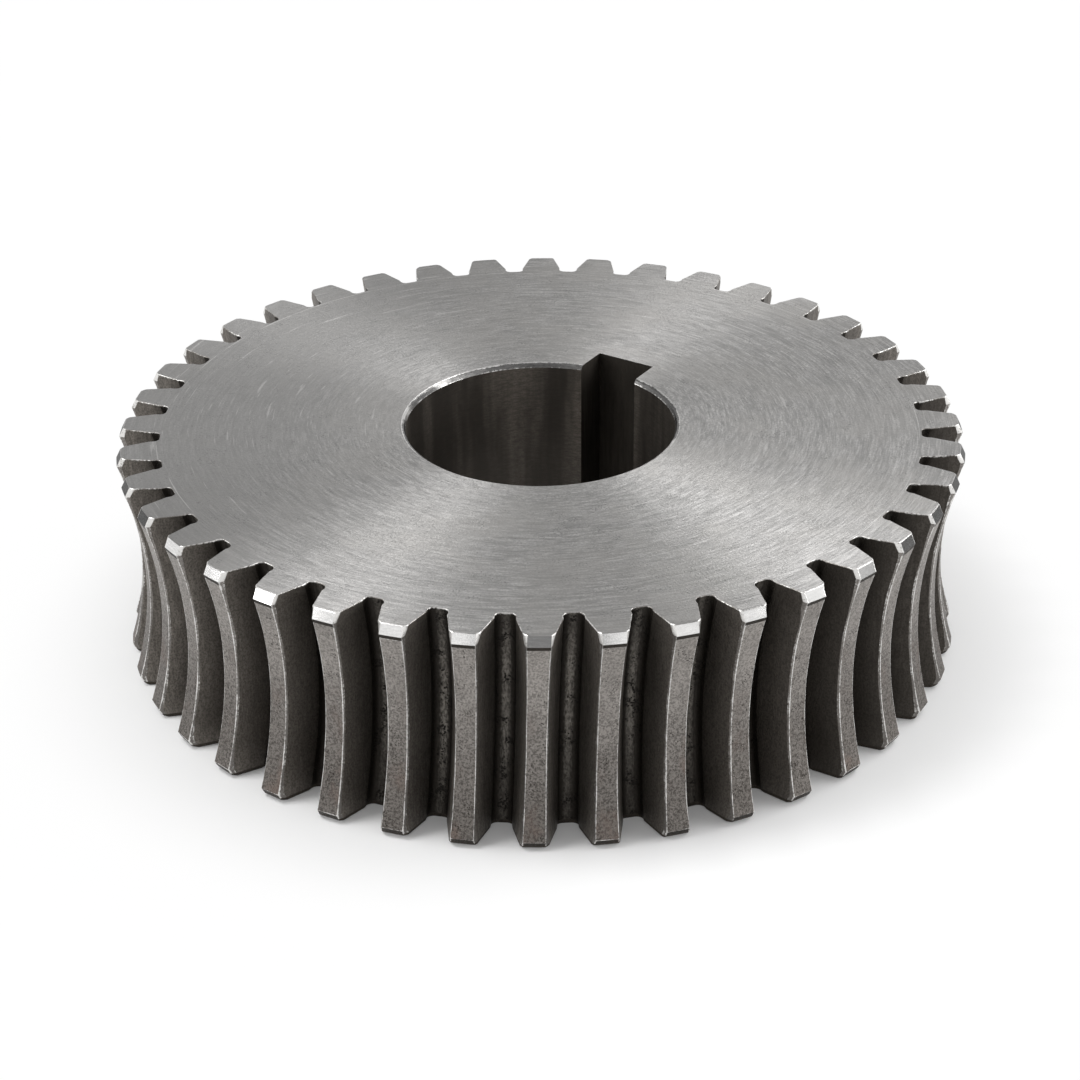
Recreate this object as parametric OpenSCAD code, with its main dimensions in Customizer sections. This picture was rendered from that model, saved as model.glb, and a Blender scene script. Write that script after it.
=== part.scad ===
// Worm gear: a throated steel wheel with a keyed bore, turned and hobbed from one blank.
// The bore stands along Z, the wheel rests on its lower face at Z = 0 and the keyway points to +Y.

/* [Teeth] */
// Module, the pitch diameter divided by the number of teeth
tooth_module = 3; // [2:0.25:4]
// Number of teeth
tooth_count = 40; // [30:1:60]
// Pressure angle of the tooth flanks, in degrees
pressure_angle = 20; // [14.5:0.5:22]
// Height of a tooth outside its pitch circle at the middle of the face
addendum = 3; // [2:0.1:3.5]
// Depth of a tooth inside its pitch circle at the middle of the face
dedendum = 3.75; // [2.8:0.05:4.5]
// Depth of the straight-sided slot at the bottom of each tooth gap
root_slot_h = 1.4; // [1.2:0.1:2]
// Radius of the fillets at the bottom of that slot
root_fillet = 0.9; // [0.3:0.05:1.1]
// Depth of the bevel along the edges of the tooth tips
edge_break = 0.25; // [0.1:0.05:0.4]

/* [Mating worm] */
// Pitch diameter of the worm, which the hollow of the teeth wraps round
worm_pitch_d = 108; // [80:1:140]
// Number of threads on the worm
worm_starts = 1; // [1:1:4]

/* [Blank] */
// Width of the wheel along its bore
face_w = 35; // [24:1:44]
// Radial rise of the tooth corners over the throat
rim_rise = 2.6; // [1.5:0.05:4]
// Length of the rim chamfers along the bore
rim_chamfer_h = 1.5; // [0.5:0.1:3]
// Radial depth of the rim chamfers
rim_chamfer_r = 0.75; // [0.3:0.05:1.4]

/* [Bore] */
// Diameter of the bore
bore_d = 42; // [25:1:50]
// Chamfer at both ends of the bore
bore_chamfer = 0.7; // [0.2:0.1:2]
// Width of the keyway
keyway_w = 10; // [6:1:14]
// Depth of the keyway beyond the wall of the bore
keyway_depth = 5.3; // [3:0.1:8]

/* [Hidden] */
steel = [0.58, 0.57, 0.56];
// Overlap of each cutter beyond the surface that it cuts
over = 1;

pitch_r = tooth_module * tooth_count / 2;
worm_pitch_r = worm_pitch_d / 2;
centre_distance = pitch_r + worm_pitch_r;
// Angle at which the worm's thread, and so each tooth, leans from the bore's direction
lead_angle = atan(worm_starts * tooth_module / worm_pitch_d);
tooth_pitch_angle = 360 / tooth_count;

outside_r = pitch_r + addendum + rim_rise;
rim_edge_r = outside_r - rim_chamfer_r;
bore_r = bore_d / 2;
bore_edge_r = bore_r + bore_chamfer;

// Radii about the worm's axis: tooth tips, top of the root slot, its floor, and the cutter's open side
tip_arc_r = worm_pitch_r - addendum;
floor_arc_r = worm_pitch_r + dedendum;
slot_arc_r = floor_arc_r - root_slot_h;
fillet_arc_r = floor_arc_r - root_fillet;
bevel_arc_r = tip_arc_r + edge_break;
open_arc_r = tip_arc_r - 2 * over;
// Swing of a gap's section about the worm's axis that carries it clear of both faces
swing = 2 * asin((face_w / 2 + 2 * over) / tip_arc_r);

// Half of the gap's width between the flanks at a radius about the worm's axis
function gap_half_w(r) = PI * tooth_module / 4 + (worm_pitch_r - r) * tan(pressure_angle);
slot_half_w = gap_half_w(slot_arc_r);
fillet_half_w = slot_half_w - root_fillet;
bevel_half_w = gap_half_w(bevel_arc_r);

// One side of the gap's section, from its open side down to the floor
gap_side = [
    [open_arc_r, bevel_half_w + bevel_arc_r - open_arc_r],
    [bevel_arc_r, bevel_half_w],
    [slot_arc_r, slot_half_w],
    [fillet_arc_r, slot_half_w],
    [floor_arc_r, fillet_half_w],
];

// Section of a tooth gap: X is the distance from the worm's axis, Y runs along that axis
module gap_section() {
    last = len(gap_side) - 1;
    polygon(concat(gap_side, [for (i = [last : -1 : 0]) [gap_side[i][0], -gap_side[i][1]]]));
    for (side = [-1, 1])
        translate([fillet_arc_r, side * fillet_half_w])
            circle(r = root_fillet, $fn = 32);
}

// One tooth gap on the +X side: its section swung about the leaning axis of the worm
module tooth_gap() {
    translate([centre_distance, 0, face_w / 2])
        rotate([90 - lead_angle, 0, 0])
            rotate([0, 0, 180 - swing / 2])
                rotate_extrude(angle = swing, $fn = 360)
                    gap_section();
}

// The blank as it leaves the lathe: faces, rim chamfers, throat and chamfered bore
module turned_blank() {
    rotate_extrude($fn = 360)
        difference() {
            polygon([
                [bore_edge_r, 0],
                [rim_edge_r, 0],
                [outside_r, rim_chamfer_h],
                [outside_r, face_w - rim_chamfer_h],
                [rim_edge_r, face_w],
                [bore_edge_r, face_w],
                [bore_r, face_w - bore_chamfer],
                [bore_r, bore_chamfer],
            ]);
            translate([centre_distance, face_w / 2])
                circle(r = tip_arc_r, $fn = 360);
        }
}

// The broached slot for the key
module keyway() {
    translate([-keyway_w / 2, 0, -over])
        cube([keyway_w, bore_r + keyway_depth, face_w + 2 * over]);
}

module worm_gear() {
    color(steel)
        difference() {
            turned_blank();
            for (i = [0 : tooth_count - 1])
                rotate([0, 0, i * tooth_pitch_angle])
                    tooth_gap();
            keyway();
        }
}

worm_gear();
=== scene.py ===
"""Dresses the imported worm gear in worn, machined steel and sets it on a pale studio floor."""

import math

import bpy
import numpy as np
from mathutils import Matrix, Vector


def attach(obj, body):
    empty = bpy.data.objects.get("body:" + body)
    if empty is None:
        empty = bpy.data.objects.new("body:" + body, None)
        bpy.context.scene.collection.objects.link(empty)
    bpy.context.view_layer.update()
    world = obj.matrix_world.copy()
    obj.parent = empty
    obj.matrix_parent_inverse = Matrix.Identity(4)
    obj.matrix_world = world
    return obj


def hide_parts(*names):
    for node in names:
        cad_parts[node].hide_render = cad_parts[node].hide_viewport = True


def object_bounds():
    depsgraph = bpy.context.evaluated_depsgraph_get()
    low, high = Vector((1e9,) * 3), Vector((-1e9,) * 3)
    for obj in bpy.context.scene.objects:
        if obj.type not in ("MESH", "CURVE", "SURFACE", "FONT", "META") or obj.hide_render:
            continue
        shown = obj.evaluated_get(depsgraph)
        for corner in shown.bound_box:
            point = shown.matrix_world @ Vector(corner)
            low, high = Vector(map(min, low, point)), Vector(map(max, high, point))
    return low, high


bl_info = {
    "name": "Worm Gear",
    "version": (1, 0, 0),
    "blender": (4, 5, 0),
    "location": "3D View > Sidebar > Worm Gear",
    "description": "A throated, hobbed steel wheel with a keyed bore on a studio floor",
    "category": "Object",
}

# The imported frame, and its box before anything is added

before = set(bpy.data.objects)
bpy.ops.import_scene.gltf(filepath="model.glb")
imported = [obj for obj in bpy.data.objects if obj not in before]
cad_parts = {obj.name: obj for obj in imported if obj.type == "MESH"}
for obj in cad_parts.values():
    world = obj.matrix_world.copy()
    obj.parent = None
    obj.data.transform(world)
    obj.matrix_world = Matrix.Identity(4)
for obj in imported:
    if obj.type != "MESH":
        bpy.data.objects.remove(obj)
CAD_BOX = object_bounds()
CAD_NODE = "worm_gear"
CAD_BODY = "root"
MM = 0.001

# Columns of the tooth outline, from the floor of a gap up to the land between two gaps

FLOOR_STEPS = 3
FILLET_STEPS = 6
FLANK_STEPS = 8
LAND_STEPS = 4

# Rows of the tooth outline, as heights beyond the corner between a rim chamfer and the throat

LOWER_ROWS = (-0.14 * MM, 0.0, 0.14 * MM, 0.9 * MM)
UPPER_ROWS = (-0.1 * MM, 0.0, 0.03 * MM, 0.58 * MM, 0.68 * MM, 0.86 * MM, 1.4 * MM)
MIDDLE_ROWS = 20

# Rows of the bore's wall, and the faces: the share of a tooth's end along its edges, the distance
# of the first ring inside the gaps, and the rings as shares of the way from there to the bore

BORE_ROWS = 8
FINGER_EDGE = 0.07
INSIDE_GAPS = 0.9 * MM
FACE_RINGS = (0.0, 0.33, 0.66, 0.985, 1.0)

# Worn bevels: the length over which they widen at the ends of the teeth and the power by which they
# do, what a rim chamfer takes off their depth and adds to their width, as shares, their crown as a
# share of their depth, the columns beside them, and the knots, share and seed of their unevenness

BEVEL_END = 6.5 * MM
BEVEL_POWER = 1.8
BEVEL_ON_CHAMFER = (0.55, 3.0)
BEVEL_CROWN = 0.08
BESIDE_BEVEL = 0.16 * MM
BESIDE_LAND = 0.15 * MM
WEAR_KNOTS = 14
UNEVENNESS = 0.2
WEAR_SEED = 11

# Tooth gaps whose next tooth has a dull rim chamfer darkened with painted shade, and how strongly

DULL_SHADED_CHAMFERS = dict.fromkeys((0, 1, 2, 3, 12, 17, 21, 22, 23, 24, 25, 26, 39), 1.0)
DULL_SHADED_CHAMFERS.update({37: 0.72, 38: 0.84})

# Directions from the bore to the side of the face with painted shade, and to the teeth whose flanks
# get painted shade

SHADED_FACE_SIDE = (-0.955, -0.297, 0.0)
SHADED_FLANK_SIDE = (0.974, 0.225, 0.0)

# Radius and width of the faint bright circle on the face

BRIGHT_FACE_CIRCLE = (58.6 * MM, 0.11 * MM)

# How far the looks stay inside the CAD solid's rim

RIM_INSET = 0.006 * MM

# Angle over which an edge is shown sharp

SHARP_ANGLE = math.radians(24)


# Sizes and colours that a user would change


def length(name, description, default):
    """A length in metres, or as many as the default holds."""
    given = {"name": name, "description": description, "default": default, "unit": "LENGTH"}
    if isinstance(default, tuple):
        return bpy.props.FloatVectorProperty(size=len(default), precision=5, **given)
    return bpy.props.FloatProperty(precision=5, **given)


def colour(name, description, *default):
    """A colour without transparency."""
    given = {"name": name, "description": description, "default": default, "subtype": "COLOR"}
    return bpy.props.FloatVectorProperty(size=3, min=0, max=1, **given)


def power(name, description, default):
    """The power of a lamp."""
    given = {"name": name, "description": description, "default": default, "unit": "POWER"}
    return bpy.props.FloatProperty(min=0, **given)


class WormGearSizes(bpy.types.PropertyGroup):
    """Sizes of the wheel, as they are in the part's source"""

    tooth_count: bpy.props.IntProperty(
        name="Teeth", description="Number of teeth", default=40, min=30, max=60
    )
    tooth_module: length("Module", "Pitch diameter divided by the number of teeth", 3 * MM)
    pressure_angle: bpy.props.FloatProperty(
        name="Pressure Angle",
        description="Slope of the tooth flanks",
        default=math.radians(20),
        subtype="ANGLE",
    )
    addendum: length("Addendum", "Tooth height outside the pitch circle, at mid-face", 3 * MM)
    dedendum: length("Dedendum", "Tooth depth inside the pitch circle, at mid-face", 3.75 * MM)
    root_slot: length("Root Slot", "Depth of the straight slot below the flanks", 1.4 * MM)
    root_fillet: length("Root Fillet", "Radius at the bottom of the root slot", 0.9 * MM)
    worm_diameter: length("Worm Diameter", "Pitch diameter of the mating worm", 108 * MM)
    face_width: length("Face Width", "Width along the bore", CAD_BOX[1].z - CAD_BOX[0].z)
    rim_rise: length("Rim Rise", "Rise of the tooth corners over the throat", 2.6 * MM)
    rim_chamfer: length(
        "Rim Chamfer", "Length along the bore and radial depth", (1.5 * MM, 0.75 * MM)
    )
    bore_diameter: length("Bore", "Diameter of the bore", 42 * MM)
    bore_chamfer: length("Bore Chamfer", "Chamfer at both ends of the bore", 0.7 * MM)
    keyway: length("Keyway", "Width, and depth beyond the bore", (10 * MM, 5.3 * MM))
    tip_bevel: length(
        "Tip Bevel",
        "Depth of the worn bevel down the flanks, at mid-face and at the ends",
        (0.26 * MM, 0.9 * MM),
    )
    land_bevel: length("Land Bevel", "Width that the worn bevel takes off each land", 0.1 * MM)
    edge_break: length("Edge Break", "Width of the broken edges round the upper face", 0.09 * MM)
    under_edge: length(
        "Under Edge", "Height and width of the lower face's rounded edge", (0.7 * MM, 0.34 * MM)
    )


class WormGearLook(bpy.types.PropertyGroup):
    """Colours and wear of the steel"""

    face_colour: colour("Turned Faces", "Colour of the turned faces", 0.57, 0.56, 0.549)
    chamfer_colour: colour("Chamfers", "Colour of the bright rim chamfers", 0.97, 0.961, 0.948)
    land_colour: colour("Tooth Tips", "Colour of the lands on the teeth", 0.285, 0.266, 0.248)
    flank_colour: colour("Flanks", "Colour of the oily tooth flanks", 0.165, 0.148, 0.13)
    root_colour: colour("Roots", "Colour of the floors between the teeth", 0.205, 0.188, 0.166)
    bore_colour: colour("Bore", "Colour of the bore", 0.195, 0.174, 0.152)
    keyway_colour: colour("Keyway", "Colour of the keyway", 0.064, 0.056, 0.047)
    worn_colour: colour("Worn Edges", "Colour of bare steel on worn edges", 0.82, 0.81, 0.79)
    rust_colour: colour("Rust", "Colour of the brown stain low on the lands", 0.19, 0.14, 0.118)
    # This colour is also used for painted shade: deep in the gaps, under and on the rim chamfers,
    # on the under edge and on one side's flanks
    soil_and_shade_colour: colour("Soil", "Colour of the old oil and pits", 0.022, 0.018, 0.014)
    wear: bpy.props.FloatProperty(
        name="Wear",
        description="Strength of the bright worn edges",
        default=1.0,
        min=0,
        max=1,
        subtype="FACTOR",
    )


class WormGearStage(bpy.types.PropertyGroup):
    """Camera, floor and lamps"""

    lens: bpy.props.FloatProperty(
        name="Lens", description="Focal length", default=90, min=20, max=300, unit="CAMERA"
    )
    floor_size: length("Floor", "Side of the floor", 12)
    floor_colour: colour("Floor Colour", "Colour of the floor", 0.86, 0.86, 0.86)
    left_power: power("Left Lamp", "Power of the soft lamp on the left", 4.3)
    right_power: power("Right Lamp", "Power of the soft lamp on the right", 4.5)
    low_power: power("Low Lamps", "Power of each low lamp, at the left and the right", 1.35)
    ceiling: bpy.props.FloatProperty(
        name="Ceiling", description="Level of the studio overhead", default=0.43, min=0, max=1
    )


# Shape of the wheel


class WheelShape:
    """The wheel's surfaces in metres: bore along Z, lower face at Z = 0, first tooth gap on +X."""

    def __init__(self, sizes):
        self.teeth = sizes.tooth_count
        self.pitch = 2 * math.pi / self.teeth
        self.module = sizes.tooth_module
        self.slope = math.tan(sizes.pressure_angle)
        self.face = sizes.face_width
        self.worm_r = sizes.worm_diameter / 2
        self.centre = self.module * self.teeth / 2 + self.worm_r
        self.lead = math.atan(self.module / sizes.worm_diameter)
        self.outside_r = self.module * self.teeth / 2 + sizes.addendum + sizes.rim_rise - RIM_INSET
        self.chamfer_h, self.chamfer_r = sizes.rim_chamfer
        self.tip_arc = self.worm_r - sizes.addendum
        self.floor_arc = self.worm_r + sizes.dedendum
        self.slot_arc = self.floor_arc - sizes.root_slot
        self.fillet = sizes.root_fillet
        self.slot_half = self.half_gap(self.slot_arc)
        self.bore_r = sizes.bore_diameter / 2
        self.bore_chamfer = sizes.bore_chamfer
        self.key_half = sizes.keyway[0] / 2
        self.key_floor = self.bore_r + sizes.keyway[1]
        self.bevel_mid, self.bevel_end = sizes.tip_bevel
        self.land_bevel = sizes.land_bevel
        self.edge = sizes.edge_break
        self.under_h, self.under_w = sizes.under_edge
        self.corner_z = self.chamfer_corner()

    def half_gap(self, r):
        """Half of the gap's width between its flanks at a radius about the worm's axis."""
        return math.pi * self.module / 4 + (self.worm_r - r) * self.slope

    def throat_r(self, z):
        """Radius of the throat at a height."""
        return self.centre - np.sqrt(self.tip_arc**2 - (z - self.face / 2) ** 2)

    def chamfer_line(self, z):
        """Radius of the nearer rim chamfer's cone at a height."""
        depth = np.minimum(z, self.face - z)
        return self.outside_r - self.chamfer_r * (1 - depth / self.chamfer_h)

    def rim_r(self, z):
        """Radius of the blank's rim at a height: the throat, cut off by the chamfers."""
        return np.minimum(self.throat_r(z), self.chamfer_line(z))

    def chamfer_corner(self):
        """Height above the lower face at which the lower chamfer meets the throat."""
        low, high = 0.0, 2 * self.chamfer_h
        for _ in range(60):
            middle = (low + high) / 2
            if self.chamfer_line(middle) < self.throat_r(middle):
                low = middle
            else:
                high = middle
        return low

    def wall_point(self, r, w, z):
        """Point of the gap on +X, from a radius about the worm's axis, an offset and a height."""
        rise = (z - self.face / 2 + w * math.sin(self.lead)) / math.cos(self.lead)
        x = self.centre - np.sqrt(r**2 - rise**2)
        y = w * math.cos(self.lead) + rise * math.sin(self.lead)
        return x, y

    def meet_rim(self, offset_at, z):
        """Radius about the worm's axis at which a wall, given by its offsets, meets the rim."""
        low = np.full_like(z, self.tip_arc - 3 * MM)
        high = np.full_like(z, self.tip_arc + 4 * MM)
        target = self.rim_r(z)
        for _ in range(50):
            middle = (low + high) / 2
            x, y = self.wall_point(middle, offset_at(middle), z)
            outside = np.hypot(x, y) > target
            low = np.where(outside, middle, low)
            high = np.where(outside, high, middle)
        return (low + high) / 2

    def bevel(self, z, unevenness):
        """Depth down the flank and width on the land of the worn bevel at a height."""
        end = np.minimum(z, self.face - z)
        near_end = np.clip(1 - end / BEVEL_END, 0, 1) ** BEVEL_POWER
        on_chamfer = np.clip(1 - end / self.corner_z, 0, 1)
        shallower, wider = BEVEL_ON_CHAMFER
        depth = self.bevel_mid + (self.bevel_end - self.bevel_mid) * near_end
        depth = depth * (1 - shallower * on_chamfer)
        width = self.land_bevel * (1 + wider * on_chamfer)
        uneven = 1 + UNEVENNESS * unevenness
        return depth * uneven, width * uneven

    def rows(self):
        """Heights of the rows of the tooth outline, and the two rows on which the chamfers end."""
        c = self.corner_z
        low = [0, 0.35 * self.under_h, self.under_h, *[c + v for v in LOWER_ROWS]]
        high = [0, self.edge, c / 2, *[c + v for v in UPPER_ROWS]]
        middle = np.linspace(low[-1], self.face - high[-1], MIDDLE_ROWS + 2)[1:-1]
        z = np.array([*low, *middle, *[self.face - v for v in reversed(high)]])
        return z, low.index(c), len(z) - 1 - high.index(c)

    def side_columns(self, side, z, unevenness):
        """One wall of the gap on +X at every height, from its floor's middle out to the land."""
        floor_half = self.slot_half - self.fillet
        spots = [(self.floor_arc, floor_half * k / FLOOR_STEPS) for k in range(1, FLOOR_STEPS + 1)]
        for k in range(1, FILLET_STEPS + 1):
            turn = math.pi / 2 * k / FILLET_STEPS
            r = self.floor_arc - self.fillet + self.fillet * math.cos(turn)
            spots.append((r, floor_half + self.fillet * math.sin(turn)))
        spots.append((self.slot_arc, self.slot_half))
        corner = self.meet_rim(lambda r: side * self.half_gap(r), z)
        depth, width = self.bevel(z, unevenness)
        flank_end = corner + depth
        inner_end = flank_end + BESIDE_BEVEL
        reach = inner_end - self.slot_arc
        flank = [self.slot_arc + reach * (k / FLANK_STEPS) for k in range(1, FLANK_STEPS)]
        spots += [(r, self.half_gap(r)) for r in (*flank, inner_end, flank_end)]
        land_w = self.half_gap(corner) + width
        land_r = self.meet_rim(lambda r: side * land_w, z)
        middle_w = (self.half_gap(flank_end) + land_w) / 2
        spots += [((flank_end + land_r) / 2 - BEVEL_CROWN * depth, middle_w), (land_r, land_w)]
        return [self.wall_point(r, side * w, z) for r, w in spots]


# Columns of the outline: up to the slot's top, in one side, in a whole gap, on a land, and in both

SLOT_TOP = FLOOR_STEPS + FILLET_STEPS + 1
SIDE = SLOT_TOP + FLANK_STEPS + 3
GAP = 2 * SIDE + 1
LAND = LAND_STEPS + 1
OUTLINE = GAP + LAND

# Numbers of the finishes, in the order in which the wheel holds its materials

FACE, CHAMFER, TIP, BEVEL, UNDER, FLANK, ROOT, BORE, BORE_CHAMFER, KEYWAY = range(10)

# Masks on the points: worn edges, painted shade under and on the rim chamfers, depth in the gap,
# dull rim chamfers with painted shade

MASKS = ("edge_wear", "edge_shade", "gap_depth", "dull_chamfer")

# Wear of the bevel's columns from the land inwards, of the lands at the lower rim chamfer's corner
# and below the upper one's, and of the tooth edges at the upper face

BEVEL_WEAR = (1.0, 0.35, 0.6)
LOWER_LAND_WEAR = 0.85
UPPER_LAND_WEAR = 0.62
UPPER_EDGE_WEAR = 0.68

# Painted shade on the lower rim chamfer, and the gap's depth mask at its floor's middle, at the
# floor's end and at the end of the flank

LOWER_CHAMFER_SHADE = 0.62
FLOOR_MIDDLE, FLOOR_END, FLANK_END = 0.45, 0.8, 0.06


def outline_masks(shape, low_corner, high_corner, rows):
    """Masks of the outline's points, in the order of MASKS."""
    wear = np.zeros(OUTLINE)
    for k, level in enumerate(BEVEL_WEAR):
        wear[k] = wear[GAP - 1 - k] = level
    wear = np.broadcast_to(wear, (shape.teeth, rows, OUTLINE)).copy()
    lands = slice(GAP, OUTLINE)
    wear[:, low_corner, lands] = LOWER_LAND_WEAR
    wear[:, high_corner - 3, lands] = UPPER_LAND_WEAR
    wear[:, high_corner:, [0, 1, 2, GAP - 3, GAP - 2, GAP - 1]] = 1.0
    wear[:, -2:] = np.maximum(wear[:, -2:], UPPER_EDGE_WEAR)
    wear[:, -2:, lands] = 0.0
    # Painted shade: a dark band just under the upper rim chamfer, the lower rim chamfer darkened,
    # and the under edge
    shade = np.zeros_like(wear)
    shade[:, high_corner - 2 : high_corner, GAP - 1 :] = 1.0
    shade[:, high_corner - 2 : high_corner, 0] = 1.0
    shade[:, :low_corner, lands] = LOWER_CHAMFER_SHADE
    shade[:, :2] = 1.0
    across = [
        *np.linspace(FLOOR_MIDDLE, FLOOR_END, FLOOR_STEPS + 1)[1:],
        *[1.0] * (FILLET_STEPS + 1),
        *np.linspace(1, FLANK_END, FLANK_STEPS + 1)[1:],
        *[0.0] * 3,
    ]
    depth = np.array([*across[::-1], FLOOR_MIDDLE, *across, *[0.0] * LAND])
    depth = np.broadcast_to(depth, wear.shape)
    # Painted shade: the rim chamfers of the listed teeth are darkened, as if they reflected shade,
    # and made rougher
    dull_and_shade = np.zeros_like(wear)
    for gap, level in DULL_SHADED_CHAMFERS.items():
        dull_and_shade[gap % shape.teeth, :, GAP - 1 :] = level
        dull_and_shade[(gap + 1) % shape.teeth, :, 0] = level
    return wear, shade, depth, dull_and_shade


def outline_grid(shape):
    """Outline points as [gap, row, column, xyz], their masks, and the upper chamfer's last row."""
    z, low_corner, high_corner = shape.rows()
    rng = np.random.default_rng(WEAR_SEED)
    knots = np.linspace(0, shape.face, WEAR_KNOTS)
    points = np.zeros((shape.teeth, len(z), OUTLINE, 3))
    points[..., 2] = z[None, :, None]
    edges = np.zeros((shape.teeth, 2, len(z)))
    for gap in range(shape.teeth):
        turn = shape.pitch * gap
        turned = []
        for side in (-1, 1):
            unevenness = np.interp(z, knots, rng.normal(size=len(knots)))
            columns = shape.side_columns(side, z, unevenness)
            turned.append(columns if side > 0 else columns[::-1])
        x_mid, y_mid = shape.wall_point(shape.floor_arc, 0.0, z)
        columns = [*turned[0], (x_mid, y_mid), *turned[1]]
        for k, (x, y) in enumerate(columns):
            points[gap, :, k, 0] = x * math.cos(turn) - y * math.sin(turn)
            points[gap, :, k, 1] = x * math.sin(turn) + y * math.cos(turn)
        for side, k in ((0, 0), (1, GAP - 1)):
            edges[gap, side] = np.arctan2(points[gap, :, k, 1], points[gap, :, k, 0])
    radius = shape.rim_r(z)
    for gap in range(shape.teeth):
        start = edges[gap, 1]
        span = (edges[(gap + 1) % shape.teeth, 0] - start) % (2 * math.pi)
        near = BESIDE_LAND / (radius * span)
        steps = [near, *[np.full_like(z, k / LAND_STEPS) for k in range(1, LAND_STEPS)], 1 - near]
        for k, share in enumerate(steps):
            angle = start + span * share
            points[gap, :, GAP + k, 0] = radius * np.cos(angle)
            points[gap, :, GAP + k, 1] = radius * np.sin(angle)
    for row, distance in ((0, shape.under_w), (1, 0.3 * shape.under_w), (len(z) - 1, shape.edge)):
        flat = points[:, row, :, :2]
        flat[:] = inset(flat.reshape(-1, 2), distance).reshape(flat.shape)
    return points, outline_masks(shape, low_corner, high_corner, len(z)), high_corner


def inset(outline, distance):
    """A closed flat outline, counter-clockwise, moved inwards."""
    ahead = np.roll(outline, -1, 0) - outline
    ahead /= np.linalg.norm(ahead, axis=1)[:, None]
    behind = np.roll(ahead, 1, 0)
    inward = np.stack([-(ahead + behind)[:, 1], (ahead + behind)[:, 0]], 1)
    inward /= np.linalg.norm(inward, axis=1)[:, None]
    level = np.stack([-ahead[:, 1], ahead[:, 0]], 1)
    stretch = 1 / np.maximum((inward * level).sum(1), 0.6)
    return outline + inward * (distance * stretch)[:, None]


class MeshParts:
    """Vertices, faces and masks of the wheel while it is put together."""

    def __init__(self):
        self.points, self.faces, self.finish = [], [], []
        self.masks = {label: [] for label in MASKS}

    def add(self, points, **masks):
        """Adds points and returns their numbers, in the shape they came in."""
        points = np.asarray(points, float)
        count = points[..., 0].size
        first = len(self.points)
        self.points.extend(points.reshape(-1, 3))
        for label, values in self.masks.items():
            values.extend(np.broadcast_to(masks.get(label, 0.0), points.shape[:-1]).reshape(-1))
        return np.arange(first, first + count).reshape(points.shape[:-1])

    def grid(self, numbers, finish, flip=False):
        """Quads over a grid of vertex numbers. finish is one material or one for each column."""
        rows, columns = numbers.shape
        for j in range(columns - 1):
            which = finish[j] if isinstance(finish, list) else finish
            for i in range(rows - 1):
                quad = [numbers[i, j], numbers[i, j + 1], numbers[i + 1, j + 1], numbers[i + 1, j]]
                self.faces.append(quad[::-1] if flip else quad)
                self.finish.append(which)

    def to_mesh(self, name):
        mesh = bpy.data.meshes.new(name)
        faces = [tuple(int(v) for v in face) for face in self.faces]
        mesh.from_pydata([tuple(p) for p in self.points], [], faces)
        mesh.polygons.foreach_set("material_index", self.finish)
        mesh.polygons.foreach_set("use_smooth", [True] * len(self.faces))
        for label, values in self.masks.items():
            layer = mesh.attributes.new(label, "FLOAT", "POINT")
            layer.data.foreach_set("value", [float(v) for v in values])
        mesh.set_sharp_from_angle(angle=SHARP_ANGLE)
        mesh.update()
        return mesh


def column_finishes():
    """The finish of each column of the outline, between the rim chamfers."""
    side = [ROOT] * SLOT_TOP + [FLANK] * (FLANK_STEPS + 1) + [BEVEL] * 2
    return [*side[::-1], *side, *[TIP] * (LAND + 1)]


def add_teeth(parts, shape):
    """The toothed skin of the wheel. Returns its outline points and their numbers."""
    points, masks, high_corner = outline_grid(shape)
    numbers = parts.add(points, **dict(zip(MASKS, masks, strict=True)))
    ring = np.concatenate([numbers[g] for g in range(shape.teeth)], axis=1)
    ring = np.concatenate([ring, ring[:, :1]], axis=1)
    columns = column_finishes()
    top = [CHAMFER if c == TIP else c for c in columns]
    edge = [FACE if c == TIP else BEVEL for c in columns]
    rows = len(ring)
    for row in range(rows - 1):
        if row < 2:
            finish = [UNDER] * OUTLINE
        elif row == rows - 2:
            finish = edge
        elif row >= high_corner:
            finish = top
        else:
            finish = columns
        parts.grid(ring[row : row + 2], finish * shape.teeth)
    return points, numbers


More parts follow.
